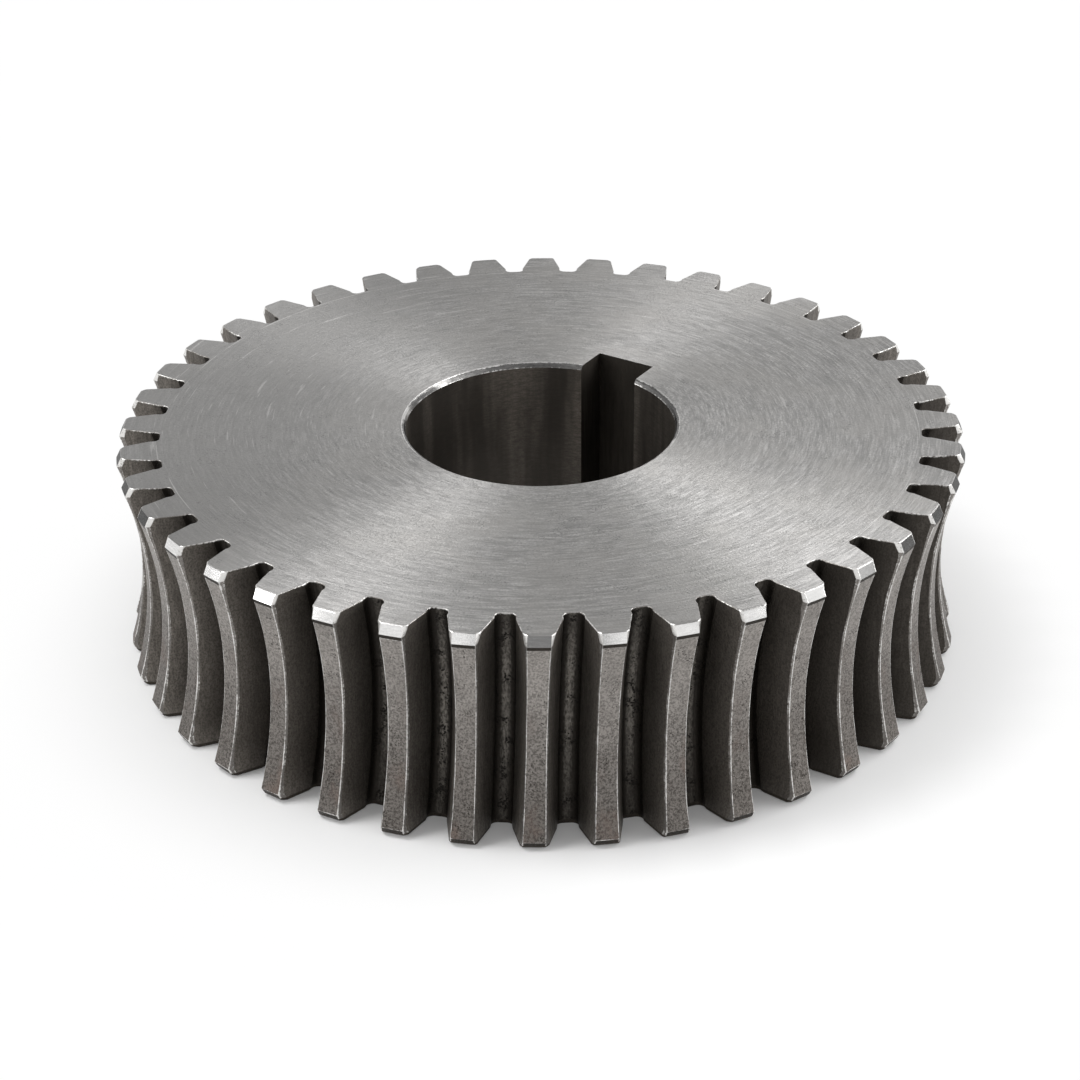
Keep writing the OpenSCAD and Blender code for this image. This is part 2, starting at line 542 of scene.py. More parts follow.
def face_grid(parts, shape, points, numbers, row, flip):
    """One flat face: the ends of the teeth, then rings in to the bore. Returns the last ring."""
    ring_numbers, ring_angles, base = [], [], []
    for gap in range(shape.teeth):
        after = (gap + 1) % shape.teeth
        left = list(range(SIDE + SLOT_TOP, GAP))
        right = list(range(SIDE - SLOT_TOP, -1, -1))
        fingers = []
        for a, b in zip(left, right, strict=True):
            start, end = points[gap, row, a], points[after, row, b]
            if a == left[-1]:
                inner = [numbers[gap, row, GAP + k] for k in range(LAND)]
            else:
                inside = [k / LAND_STEPS for k in range(1, LAND_STEPS)]
                shares = np.array([FINGER_EDGE, *inside, 1 - FINGER_EDGE])
                between = start + (end - start) * shares[:, None]
                inner = list(parts.add(between))
                if a == left[0]:
                    base.extend(between)
            fingers.append([numbers[gap, row, a], *inner, numbers[after, row, b]])
        parts.grid(np.array(fingers), FACE, not flip)
        slot = list(range(SIDE - SLOT_TOP, SIDE + SLOT_TOP + 1))
        ring_numbers += [numbers[gap, row, k] for k in slot] + fingers[0][1:-1]
        spots = [points[gap, row, k] for k in slot] + base[-LAND:]
        ring_angles += [math.atan2(p[1], p[0]) for p in spots]
    ring_angles = np.unwrap(np.array(ring_angles))
    z = points[0, row, 0, 2]
    inner_r = np.hypot(*points[0, row, SIDE, :2]) - INSIDE_GAPS
    level = np.full(len(ring_angles), z)
    circle = np.stack([inner_r * np.cos(ring_angles), inner_r * np.sin(ring_angles), level], 1)
    rim = bore_outline(shape, ring_angles, shape.bore_r + shape.bore_chamfer, z)
    rings = [np.array(ring_numbers)]
    for share in FACE_RINGS:
        rings.append(parts.add(circle + (rim - circle) * share, edge_wear=float(share == 1.0)))
    closed = np.array([np.append(r, r[0]) for r in rings])
    parts.grid(closed, FACE, flip)
    return ring_angles, rings[-1]


def keyway_columns(shape, angles):
    """Numbers of the ring columns at the keyway's four corners, in turning order."""
    mouth = math.acos(shape.key_half / shape.bore_r)
    corner = math.atan2(shape.key_floor, shape.key_half)
    wanted = [mouth, corner, math.pi - corner, math.pi - mouth]
    off = [(angles - angle + math.pi) % (2 * math.pi) - math.pi for angle in wanted]
    return [int(np.argmin(np.abs(o))) for o in off]


def bore_outline(shape, angles, radius, z):
    """The bore and its keyway at a height, with one point for each ring column."""
    x, y = radius * np.cos(angles), radius * np.sin(angles)
    mouth, corner, far_corner, far_mouth = keyway_columns(shape, angles)
    start = math.sqrt(radius**2 - shape.key_half**2)
    half, floor = shape.key_half, shape.key_floor
    depth = floor - start
    for k in range(mouth, corner + 1):
        x[k], y[k] = half, start + depth * (k - mouth) / (corner - mouth)
    for k in range(corner, far_corner + 1):
        x[k], y[k] = half * (1 - 2 * (k - corner) / (far_corner - corner)), floor
    for k in range(far_corner, far_mouth + 1):
        x[k], y[k] = -half, floor - depth * (k - far_corner) / (far_mouth - far_corner)
    return np.stack([x, y, np.full(len(x), z)], 1)


def add_bore(parts, shape, angles, top, bottom):
    """The wall of the bore and its keyway, between the rings at the two faces."""
    cut = shape.bore_chamfer
    steps = [(0.4 * cut, 0.3 * cut), (0.0, cut)]
    heights = np.linspace(shape.face - 2 * cut, 2 * cut, BORE_ROWS)
    spots = [(r, shape.face - z) for r, z in steps] + [(0.0, z) for z in heights] + steps[::-1]
    rings = [top]
    for k, (r, z) in enumerate(spots):
        outline = bore_outline(shape, angles, shape.bore_r + r, z)
        rings.append(parts.add(outline, edge_wear=0.7 * (k in (1, len(spots) - 2))))
    closed = np.array([np.append(r, r[0]) for r in (*rings, bottom)])
    mouth, _, _, far_mouth = keyway_columns(shape, angles)
    for row in range(len(closed) - 1):
        wall = BORE_CHAMFER if row in (0, 1, len(closed) - 3, len(closed) - 2) else BORE
        finish = [KEYWAY if mouth <= k < far_mouth else wall for k in range(len(angles))]
        parts.grid(closed[row : row + 2], finish)


def wheel_mesh(sizes):
    """The whole wheel as one closed mesh."""
    shape = WheelShape(sizes)
    parts = MeshParts()
    points, numbers = add_teeth(parts, shape)
    angles, top = face_grid(parts, shape, points, numbers, points.shape[1] - 1, False)
    _, bottom = face_grid(parts, shape, points, numbers, 0, True)
    add_bore(parts, shape, angles, top, bottom)
    return parts.to_mesh("worm_wheel")


# Node helpers

VECTOR, FLOAT = "NodeSocketVector", "NodeSocketFloat"


def connect(tree, socket, value):
    """Links an input to another node's output, or sets its value."""
    if isinstance(value, bpy.types.NodeSocket):
        tree.links.new(value, socket)
    else:
        socket.default_value = value


def node(tree, kind, settings=None, **inputs):
    """Adds a shader node with its settings and inputs. An input is named, or numbered as in i0."""
    made = tree.nodes.new(kind)
    for key, value in (settings or {}).items():
        setattr(made, key, value)
    for key, value in inputs.items():
        numbered = key[0] == "i" and key[1:].isdigit()
        connect(tree, made.inputs[int(key[1:]) if numbered else key.replace("_", " ")], value)
    return made


def math_node(tree, operation, a, b=0.0):
    return node(tree, "ShaderNodeMath", {"operation": operation}, i0=a, i1=b).outputs[0]


def vector_node(tree, operation, output, **inputs):
    return node(tree, "ShaderNodeVectorMath", {"operation": operation}, **inputs).outputs[output]


def spread(tree, value, low, high, to_low=0.0, to_high=1.0):
    """Maps a value from one range to another and keeps it there."""
    settings = {"interpolation_type": "SMOOTHSTEP"}
    ends = {"From_Min": low, "From_Max": high, "To_Min": to_low, "To_Max": to_high}
    return node(tree, "ShaderNodeMapRange", settings, Value=value, **ends).outputs[0]


def blend_colour(tree, share, a, b):
    """Blends two colours by a mask."""
    made = node(tree, "ShaderNodeMix", {"data_type": "RGBA"}, Factor=share)
    for socket, value in zip([s for s in made.inputs if s.type == "RGBA"], (a, b), strict=True):
        linked = isinstance(value, bpy.types.NodeSocket)
        connect(tree, socket, value if linked else (*value[:3], 1.0))
    return next(s for s in made.outputs if s.type == "RGBA")


def scaled(colour, level, tint=(1, 1, 1)):
    """A colour made lighter or darker, and tinted."""
    return tuple(min(1.0, c * level * t) for c, t in zip(colour, tint, strict=True))


def noise(tree, place, scale, detail=3.0, roughness=0.6, distortion=0.0):
    values = {"Scale": scale, "Detail": detail, "Roughness": roughness, "Distortion": distortion}
    return node(tree, "ShaderNodeTexNoise", Vector=place, **values).outputs[0]


def group(name, inputs, outputs):
    """Starts a shader node group on a position and returns it, with its inputs and its outputs."""
    tree = bpy.data.node_groups.new(name, "ShaderNodeTree")
    tree.interface.new_socket(name="Position", in_out="INPUT", socket_type=VECTOR)
    for label, default in inputs.items():
        socket = tree.interface.new_socket(name=label, in_out="INPUT", socket_type=FLOAT)
        socket.default_value = default
    for label in outputs:
        tree.interface.new_socket(name=label, in_out="OUTPUT", socket_type=FLOAT)
    start = tree.nodes.new("NodeGroupInput")
    return tree, start.outputs, tree.nodes.new("NodeGroupOutput").inputs


# Effects that the materials share


def turning_group():
    """Fine arcs that a lathe tool leaves round the bore's axis."""
    tree, given, out = group(
        "Turning Lines", {"Line Width": 0.15 * MM, "Streaks": 8.0}, ["Lines", "Scratches", "Bands"]
    )
    parts = node(tree, "ShaderNodeSeparateXYZ", i0=given["Position"]).outputs
    flat = node(tree, "ShaderNodeCombineXYZ", X=parts["X"], Y=parts["Y"]).outputs[0]
    radius = vector_node(tree, "LENGTH", "Value", i0=flat)
    heading = vector_node(tree, "NORMALIZE", "Vector", i0=flat)
    heading = vector_node(tree, "SCALE", "Vector", i0=heading, Scale=given["Streaks"])
    across = node(tree, "ShaderNodeSeparateXYZ", i0=heading).outputs
    outwards = math_node(tree, "ADD", radius, parts["Z"])
    lines = math_node(tree, "DIVIDE", outwards, given["Line Width"])

    def lines_noise(rate, *settings):
        """Noise along the heading and across the lines."""
        z = lines if rate == 1.0 else math_node(tree, "MULTIPLY", lines, rate)
        place = node(tree, "ShaderNodeCombineXYZ", X=across["X"], Y=across["Y"], Z=z).outputs[0]
        return noise(tree, place, *settings)

    connect(tree, out["Lines"], lines_noise(1.0, 1.0, 4.0, 0.7))
    connect(tree, out["Scratches"], spread(tree, lines_noise(1.7, 0.55, 2.0, 0.5), 0.64, 0.74))
    connect(tree, out["Bands"], lines_noise(0.05, 0.5))
    return tree


def grain_group():
    """Soft mottling, fine grain, and the thin curls of a rough cut surface."""
    tree, given, out = group(
        "Grain", {"Size": 1 * MM, "Stretch": 1.0}, ["Mottle", "Grain", "Curls"]
    )
    parts = node(tree, "ShaderNodeSeparateXYZ", i0=given["Position"]).outputs
    tall = math_node(tree, "DIVIDE", parts["Z"], given["Stretch"])
    place = node(tree, "ShaderNodeCombineXYZ", X=parts["X"], Y=parts["Y"], Z=tall).outputs[0]
    scale = math_node(tree, "DIVIDE", 1.0, given["Size"])
    connect(tree, out["Mottle"], noise(tree, place, math_node(tree, "MULTIPLY", scale, 0.12), 4.0))
    connect(tree, out["Grain"], noise(tree, place, scale, 3.0, 0.65))
    winding = noise(tree, place, math_node(tree, "MULTIPLY", scale, 0.5), 1.0, 0.5, 0.8)
    ridge = math_node(tree, "ABSOLUTE", math_node(tree, "SUBTRACT", winding, 0.5))
    connect(tree, out["Curls"], spread(tree, ridge, 0.0, 0.055, 1.0, 0.0))
    return tree


def pits_group():
    """Scattered dark pits."""
    tree, given, out = group("Pits", {"Size": 0.6 * MM, "Amount": 0.3}, ["Pits"])
    place = given["Position"]
    scale = math_node(tree, "DIVIDE", 1.0, given["Size"])
    where = noise(tree, place, math_node(tree, "MULTIPLY", scale, 0.16), 2.0, 0.5)
    ragged = noise(tree, place, math_node(tree, "MULTIPLY", scale, 2.4), 1.0, 0.5)
    ragged = math_node(tree, "MULTIPLY", math_node(tree, "SUBTRACT", ragged, 0.5), 0.45)
    cells = node(tree, "ShaderNodeTexVoronoi", Vector=place, Scale=scale, Randomness=1.0)
    cells = math_node(tree, "ADD", cells.outputs["Distance"], ragged)
    reach = math_node(tree, "MULTIPLY", given["Amount"], spread(tree, where, 0.42, 0.7))
    connect(tree, out["Pits"], spread(tree, math_node(tree, "SUBTRACT", reach, cells), -0.05, 0.08))
    return tree


def wear_group():
    """Breaks up the bright wear along an edge."""
    tree, given, out = group("Edge Wear", {"Edge": 0.0, "Amount": 1.0}, ["Wear"])
    patches = spread(tree, noise(tree, given["Position"], 260.0, 2.0, 0.5), 0.3, 0.7, 0.84, 0.5)
    nicks = spread(tree, noise(tree, given["Position"], 2600.0, 2.0, 0.6), 0.35, 0.75, -0.08, 0.3)
    needed = math_node(tree, "ADD", patches, nicks)
    mask = spread(tree, math_node(tree, "SUBTRACT", given["Edge"], needed), -0.14, 0.16)
    connect(tree, out["Wear"], math_node(tree, "MULTIPLY", mask, given["Amount"]))
    return tree


# Finishes of the steel


class Finish:
    """A steel material under construction, whose colour is built up in layers.

    The colour of a layer is a level of the base colour, the name of one of the look's colours, a
    colour, or another node's output.
    """

    def __init__(self, name, base, look, effects):
        self.material = bpy.data.materials.new(name)
        self.material.use_nodes = True
        self.tree = self.material.node_tree
        self.shader = self.tree.nodes["Principled BSDF"]
        self.base, self.look, self.effects = getattr(look, base), look, effects
        self.position = node(self.tree, "ShaderNodeTexCoord").outputs["Object"]
        self.colour = None

    def effect(self, name, **values):
        """Places a shared effect and returns its outputs."""
        settings = {"node_tree": self.effects[name]}
        values["Position"] = self.position
        return node(self.tree, "ShaderNodeGroup", settings, **values).outputs

    def turning(self, width, streaks):
        return self.effect("turning", Line_Width=width * MM, Streaks=streaks)

    def grain(self, size, stretch=1.0):
        return self.effect("grain", Size=size * MM, Stretch=stretch)

    def pits(self, size, amount):
        return self.effect("pits", Size=size * MM, Amount=amount)["Pits"]

    def mask(self, label):
        return node(self.tree, "ShaderNodeAttribute", {"attribute_name": label}).outputs["Fac"]

    def math(self, operation, a, b=0.0):
        return math_node(self.tree, operation, a, b)

    def paint(self, colour):
        """The colour of a layer, from any of the ways to give it."""
        if isinstance(colour, float):
            return scaled(self.base, colour)
        return getattr(self.look, colour) if isinstance(colour, str) else colour

    def mix(self, value, low, high, a, b):
        """A colour that goes from a to b as a value rises from low to high."""
        share = spread(self.tree, value, low, high)
        return blend_colour(self.tree, share, self.paint(a), self.paint(b))

    def start(self, *mixed):
        self.colour = self.mix(*mixed)

    def cover(self, share, colour, level=1.0):
        """Lays a colour over the ones below it, where a mask is bright."""
        share = share if level == 1.0 else self.math("MULTIPLY", share, level)
        self.colour = blend_colour(self.tree, share, self.colour, self.paint(colour))

    def layer(self, value, low, high, colour, level=1.0):
        """Lays a colour over the ones below it, as a value rises from low to high."""
        self.cover(spread(self.tree, value, low, high), colour, level)

    def worn_edges(self, level=1.0):
        """Lays bare steel over the worn edges."""
        wear = self.effect("wear", Edge=self.mask("edge_wear"), Amount=self.look.wear)["Wear"]
        self.cover(wear, "worn_colour", level)

    def roughness(self, value, low, high, smooth, rough):
        gloss = spread(self.tree, value, low, high, smooth, rough)
        connect(self.tree, self.shader.inputs["Roughness"], gloss)

    def bump(self, depth, *heights):
        """Sets the bump from heights, each a value and its share."""
        parts = [self.math("MULTIPLY", value, share) for value, share in heights]
        total = parts[0]
        for part in parts[1:]:
            total = self.math("ADD", total, part)
        made = node(self.tree, "ShaderNodeBump", Height=total, Distance=depth, Strength=1.0)
        connect(self.tree, self.shader.inputs["Normal"], made.outputs[0])

    def along_lathe(self):
        """Turns the stretched gloss so that it follows the turning lines."""
        made = node(self.tree, "ShaderNodeTangent", {"direction_type": "RADIAL", "axis": "Z"})
        connect(self.tree, self.shader.inputs["Tangent"], made.outputs[0])

    def height(self):
        return node(self.tree, "ShaderNodeSeparateXYZ", i0=self.position).outputs["Z"]

    def towards(self, direction):
        """Distance from the bore's axis in one direction."""
        return vector_node(self.tree, "DOT_PRODUCT", "Value", i0=self.position, i1=direction)

    def ragged_depth(self, value, amount):
        """The depth in the tooth gap, broken up by a noise."""
        swing = self.math("MULTIPLY", self.math("SUBTRACT", value, 0.5), amount)
        return self.math("ADD", self.mask("gap_depth"), swing)

    def bright_circle(self, radius, width):
        """A faint, broken bright circle on a face round the bore's axis."""
        flat = vector_node(self.tree, "MULTIPLY", "Vector", i0=self.position, i1=(1, 1, 0))
        away = vector_node(self.tree, "LENGTH", "Value", i0=flat)
        off = self.math("ABSOLUTE", self.math("SUBTRACT", away, radius))
        breaks = spread(self.tree, noise(self.tree, self.position, 70.0, 4.0), 0.46, 0.6)
        return self.math("MULTIPLY", spread(self.tree, off, 0.4 * width, width, 1.0, 0.0), breaks)


def turned_face(made):
    rings = made.turning(2.4, 1.6)
    broad = made.turning(1.05, 4.5)
    turning = made.turning(0.55, 10.0)
    fine = made.turning(0.22, 15.0)
    grain = made.grain(0.36)
    cloud = made.grain(1.6)
    pits = made.pits(0.42, 0.36)
    made.start(turning["Lines"], 0.38, 0.62, 0.72, 1.26)
    made.layer(broad["Lines"], 0.38, 0.62, 1.34, 0.36)
    made.layer(fine["Lines"], 0.44, 0.56, 0.5, 0.46)
    made.layer(rings["Lines"], 0.38, 0.62, 0.82, 0.24)
    made.layer(grain["Grain"], 0.42, 0.6, 0.62, 0.42)
    made.layer(cloud["Mottle"], 0.4, 0.66, scaled(made.base, 0.92, (1.01, 1.0, 0.98)), 0.5)
    # Painted shade: the face is darker on one side of the bore
    made.layer(made.towards(SHADED_FACE_SIDE), 12 * MM, 44 * MM, 0.6, 0.74)
    made.cover(broad["Scratches"], 0.58, 0.4)
    made.cover(turning["Scratches"], 1.5, 0.36)
    made.cover(made.bright_circle(*BRIGHT_FACE_CIRCLE), "worn_colour", 0.5)
    made.cover(pits, 0.35, 0.5)
    made.layer(made.mask("edge_wear"), 0.88, 1.0, "worn_colour", 0.7)
    made.roughness(grain["Grain"], 0.3, 0.7, 0.29, 0.43)
    lines = (turning["Lines"], 0.8), (broad["Lines"], 1.0), (fine["Lines"], 0.7)
    made.bump(0.045 * MM, *lines, (grain["Grain"], 0.8), (pits, -0.12))
    made.along_lathe()


def rim_chamfer(made):
    turning = made.turning(0.12, 46.0)
    grain = made.grain(0.22)
    dull_and_shade = made.mask("dull_chamfer")
    made.start(turning["Lines"], 0.35, 0.7, 0.86, 1.0)
    made.layer(grain["Grain"], 0.35, 0.65, 0.72, 0.3)
    # Painted shade: on the listed teeth the bright chamfer is darkened, as if it reflected shade;
    # they are also rougher
    made.cover(dull_and_shade, made.mix(grain["Grain"], 0.35, 0.65, 0.055, 0.12))
    made.worn_edges()
    gloss = made.math("ADD", dull_and_shade, made.math("MULTIPLY", grain["Grain"], 0.4))
    made.roughness(gloss, 0.1, 1.3, 0.13, 0.5)
    made.bump(0.006 * MM, (turning["Lines"], 1.0), (grain["Grain"], 1.0))


def tooth_land(made):
    grain = made.grain(0.32, 1.1)
    curls = made.grain(0.38, 0.9)
    tint = made.grain(0.55, 1.6)
    pits = made.pits(0.36, 0.36)
    low = spread(made.tree, made.height(), 30 * MM, 4 * MM)
    rough = made.math("ADD", made.math("MULTIPLY", low, 0.5), 0.45)
    made.start(tint["Mottle"], 0.35, 0.68, 1.2, 0.95)
    made.cover(made.math("MULTIPLY", spread(made.tree, grain["Grain"], 0.42, 0.6), rough), 0.3)
    made.cover(made.math("MULTIPLY", curls["Curls"], rough), 1.9, 0.42)
    made.cover(low, scaled(made.base, 0.26, (1.04, 0.97, 0.92)), 0.62)
    stain = spread(made.tree, tint["Mottle"], 0.5, 0.72)
    made.cover(made.math("MULTIPLY", stain, low), "rust_colour", 0.5)
    made.cover(pits, "soil_and_shade_colour", 0.75)
    made.worn_edges(0.9)
    # Painted shade: the dark band under the upper rim chamfer and the darkened lower rim chamfer
    made.layer(made.mask("edge_shade"), 0.3, 0.7, "soil_and_shade_colour", 0.95)
    made.roughness(grain["Grain"], 0.35, 0.7, 0.44, 0.62)
    made.bump(0.04 * MM, (grain["Grain"], -0.8), (curls["Curls"], 0.4), (pits, -1.0))


def worn_bevel(made):
    grain = made.grain(0.24, 1.6)
    made.start(grain["Grain"], 0.35, 0.65, 1.0, 0.6)
    made.layer(made.height(), 27 * MM, 5 * MM, 0.45, 0.5)
    made.worn_edges(0.9)
    # Painted shade: the dark band under the upper rim chamfer
    made.layer(made.mask("edge_shade"), 0.5, 1.0, "soil_and_shade_colour", 0.5)
    made.roughness(grain["Grain"], 0.3, 0.7, 0.38, 0.55)
    made.bump(0.02 * MM, (grain["Grain"], 1.0))


# Painted shade: the rounded under edge is near-black with little gloss, standing for the shade
# where it meets the floor
def under_edge(made):
    grain = made.grain(0.3)
    made.start(grain["Grain"], 0.35, 0.65, 1.0, 2.4)
    made.roughness(grain["Grain"], 0.3, 0.7, 0.5, 0.7)
    made.bump(0.03 * MM, (grain["Grain"], 1.0))


def tooth_flank(made):
    streaks = made.grain(0.45, 7.0)
    grain = made.grain(0.26, 1.3)
    stain = made.grain(0.5, 2.2)
    made.start(streaks["Grain"], 0.35, 0.65, 1.1, 0.86)
    made.layer(grain["Grain"], 0.42, 0.62, 0.42, 0.72)
    # Painted shade: darker deeper in the gap
    made.layer(made.ragged_depth(stain["Mottle"], 1.1), 0.1, 1.0, "soil_and_shade_colour", 0.4)
    # Painted shade on the flanks of the teeth on one side
    made.layer(made.towards(SHADED_FLANK_SIDE), 45 * MM, 57 * MM, "soil_and_shade_colour", 0.68)
    made.worn_edges(0.5)
    made.roughness(streaks["Grain"], 0.3, 0.7, 0.42, 0.6)
    made.bump(0.02 * MM, (streaks["Grain"], 0.6), (grain["Grain"], 0.8))


def gap_root(made):
    grain = made.grain(0.3, 2.2)
    blotch = made.grain(0.7, 3.0)
    pits = made.pits(0.36, 0.6)
    made.start(grain["Grain"], 0.36, 0.64, 1.2, 0.55)
    made.layer(blotch["Mottle"], 0.38, 0.66, 0.4, 0.6)
    # Painted shade: darker deeper in the gap, at the slot walls
    made.layer(made.ragged_depth(grain["Grain"], 0.3), 0.5, 0.95, "soil_and_shade_colour", 0.96)
    # Darker towards the bottom and towards the top of the root
    made.layer(made.height(), 15 * MM, 3 * MM, "soil_and_shade_colour", 0.7)
    made.layer(made.height(), 25 * MM, 34 * MM, "soil_and_shade_colour", 0.55)
    made.cover(pits, scaled(made.look.soil_and_shade_colour, 0.6), 0.95)
    made.worn_edges(0.5)
    made.roughness(grain["Grain"], 0.3, 0.7, 0.5, 0.7)
    made.bump(0.05 * MM, (grain["Grain"], 1.0), (pits, -1.4))


def bore_wall(made):
    turning = made.turning(0.3, 16.0)
    grain = made.grain(0.3)
    stain = made.grain(1.1, 9.0)
    made.start(turning["Lines"], 0.36, 0.64, 1.15, 1.75)
    made.layer(stain["Mottle"], 0.38, 0.6, 0.38, 0.9)
    made.layer(grain["Grain"], 0.4, 0.7, 0.6, 0.35)
    # Painted shade: darker towards the bottom of the bore
    made.layer(made.height(), 30 * MM, 8 * MM, 0.25, 0.6)
    made.cover(turning["Scratches"], 0.5, 0.4)
    made.roughness(grain["Grain"], 0.3, 0.7, 0.34, 0.48)
    made.bump(0.01 * MM, (turning["Lines"], 1.0), (grain["Grain"], 0.6))


def bore_rim(made):
    turning = made.turning(0.12, 30.0)
    grain = made.grain(1.7)
    made.start(turning["Lines"], 0.35, 0.65, 0.2, 0.34)
    made.layer(grain["Mottle"], 0.5, 0.6, "worn_colour", 0.75)
    made.worn_edges(0.8)
    made.roughness(turning["Bands"], 0.3, 0.7, 0.26, 0.4)
    made.bump(0.008 * MM, (turning["Lines"], 1.0))


def keyway_wall(made):
    streaks = made.grain(0.9, 14.0)
    stain = made.grain(0.6, 3.0)
    made.start(streaks["Grain"], 0.3, 0.7, 1.15, 0.75)
    made.layer(stain["Mottle"], 0.38, 0.66, 0.5, 0.6)
    made.roughness(streaks["Grain"], 0.3, 0.7, 0.45, 0.62)
    made.bump(0.015 * MM, (streaks["Grain"], 1.0))


# Shader values that only some finishes have: gloss stretched along the turning lines, and the weak
# gloss that keeps the under edge dark, as painted shade

LATHE_GLOSS = {"Anisotropic": 0.86, "Anisotropic Rotation": 0.25}
SHADED_UNDER_EDGE = {"Specular IOR Level": 0.2}

# The finishes in the order of their numbers: layers, base colour, shader values, metallic

FINISHES = {
    "turned_face_steel": (turned_face, "face_colour", LATHE_GLOSS, 1.0),
    "rim_chamfer_steel": (rim_chamfer, "chamfer_colour", {}, 1.0),
    "tooth_land_steel": (tooth_land, "land_colour", {}, 0.92),
    "worn_bevel_steel": (worn_bevel, "land_colour", {}, 0.95),
    "under_edge_steel": (under_edge, "soil_and_shade_colour", SHADED_UNDER_EDGE, 0.0),
    "tooth_flank_steel": (tooth_flank, "flank_colour", {}, 0.75),
    "gap_root_steel": (gap_root, "root_colour", {}, 0.7),
    "bore_steel": (bore_wall, "bore_colour", {}, 0.9),
    "bore_chamfer_steel": (bore_rim, "face_colour", {}, 1.0),
    "keyway_steel": (keyway_wall, "keyway_colour", {}, 0.8),
}


def steel_finishes(look):
    """Every finish of the wheel."""
    effects = {
        "turning": turning_group(),
        "grain": grain_group(),
        "pits": pits_group(),
        "wear": wear_group(),
    }
    for name, (add_layers, base, shader, metallic) in FINISHES.items():
        made = Finish(name, base, look, effects)
        for label, value in {**shader, "Metallic": metallic}.items():
            made.shader.inputs[label].default_value = value
        add_layers(made)
        connect(made.tree, made.shader.inputs["Base Color"], made.colour)
        yield made.material


# The stage

# The camera: its turn about the bore's axis, its tilt, its roll, and its place in the turned frame

VIEW_TURN = math.radians(32.3)
VIEW_ELEVATION = math.radians(28.918)
VIEW_ROLL = math.radians(0.4538)
CAMERA_PLACE = (-0.000227, -0.376890, 0.222091)
SENSOR = 36.0
CLIP = (0.01, 50)

# The wheel's shadow, partly painted: the angle and distance by which the darker floor round the
# wheel is shifted, and the distances between which the floor turns white, with its shares of white;
# inside, the real shadow shows too

SHADOW_SIDE = math.radians(-48)
SHADOW_SHIFT = 5 * MM
FLOOR_WHITE = (60 * MM, 91 * MM, 0.08, 0.965)

# Lamps: azimuth and elevation in degrees, distance, sides, and the stage's power with their share

LAMP_TARGET = (0, 0, 0.02)
LAMPS = {
    "left_softbox": (180, 60, 0.9, (0.32, 0.32), "left_power", 1.0),
    "right_softbox": (25, 45, 0.9, (0.6, 0.5), "right_power", 1.0),
    "low_left_softbox": (196, 22, 0.8, (0.4, 0.3), "low_power", 1.0),
    "low_right_softbox": (-14, 15, 0.8, (0.4, 0.25), "low_power", 1.35),
}

# The studio: heights between which white turns to the ceiling's level, the rise of that edge in
# front of the wheel, the level at the sides, and the dark flag behind and over the camera

CEILING_EDGE = (0.2, 0.5)
FRONT_RISE = 0.24
SIDE_LEVEL = 0.84
FLAG_TILT = 0.45
FLAG_LEVEL = 0.2


def put_object(name, data):
    made = bpy.data.objects.new(name, data)
    bpy.context.collection.objects.link(made)
    return made


def put_camera(stage):
    """The camera at the photograph's viewing angle."""
    turn = Matrix.Rotation(VIEW_TURN, 3, "Z")
    forward = turn @ Vector((0, math.cos(VIEW_ELEVATION), -math.sin(VIEW_ELEVATION)))
    up = turn @ Vector((0, math.sin(VIEW_ELEVATION), math.cos(VIEW_ELEVATION)))
    right = turn @ Vector((1, 0, 0))
    rolled_right = right * math.cos(VIEW_ROLL) - up * math.sin(VIEW_ROLL)
    rolled_up = up * math.cos(VIEW_ROLL) + right * math.sin(VIEW_ROLL)
    lens = bpy.data.cameras.new("camera")
    lens.lens, lens.sensor_width, lens.sensor_fit = stage.lens, SENSOR, "HORIZONTAL"
    lens.clip_start, lens.clip_end = CLIP
    camera = put_object("camera", lens)
    axes = Matrix((rolled_right, rolled_up, -forward)).transposed()
    camera.matrix_world = Matrix.Translation(turn @ Vector(CAMERA_PLACE)) @ axes.to_4x4()
    bpy.context.scene.camera = camera


def put_lamp(name, azimuth, elevation, distance, size, power):
    """A soft lamp that looks at the wheel. Azimuth 0 is the photograph's right, 90 its far side."""
    a, e = math.radians(azimuth) + VIEW_TURN, math.radians(elevation)
    away = Vector((math.cos(a) * math.cos(e), math.sin(a) * math.cos(e), math.sin(e)))
    light = bpy.data.lights.new(name, "AREA")
    light.shape, light.size, light.size_y = "RECTANGLE", size[0], size[1]
    light.energy = power
    lamp = put_object(name, light)
    lamp.rotation_mode = "QUATERNION"
    lamp.rotation_quaternion = away.to_track_quat("Z", "Y")
    lamp.location = Vector(LAMP_TARGET) + away * distance


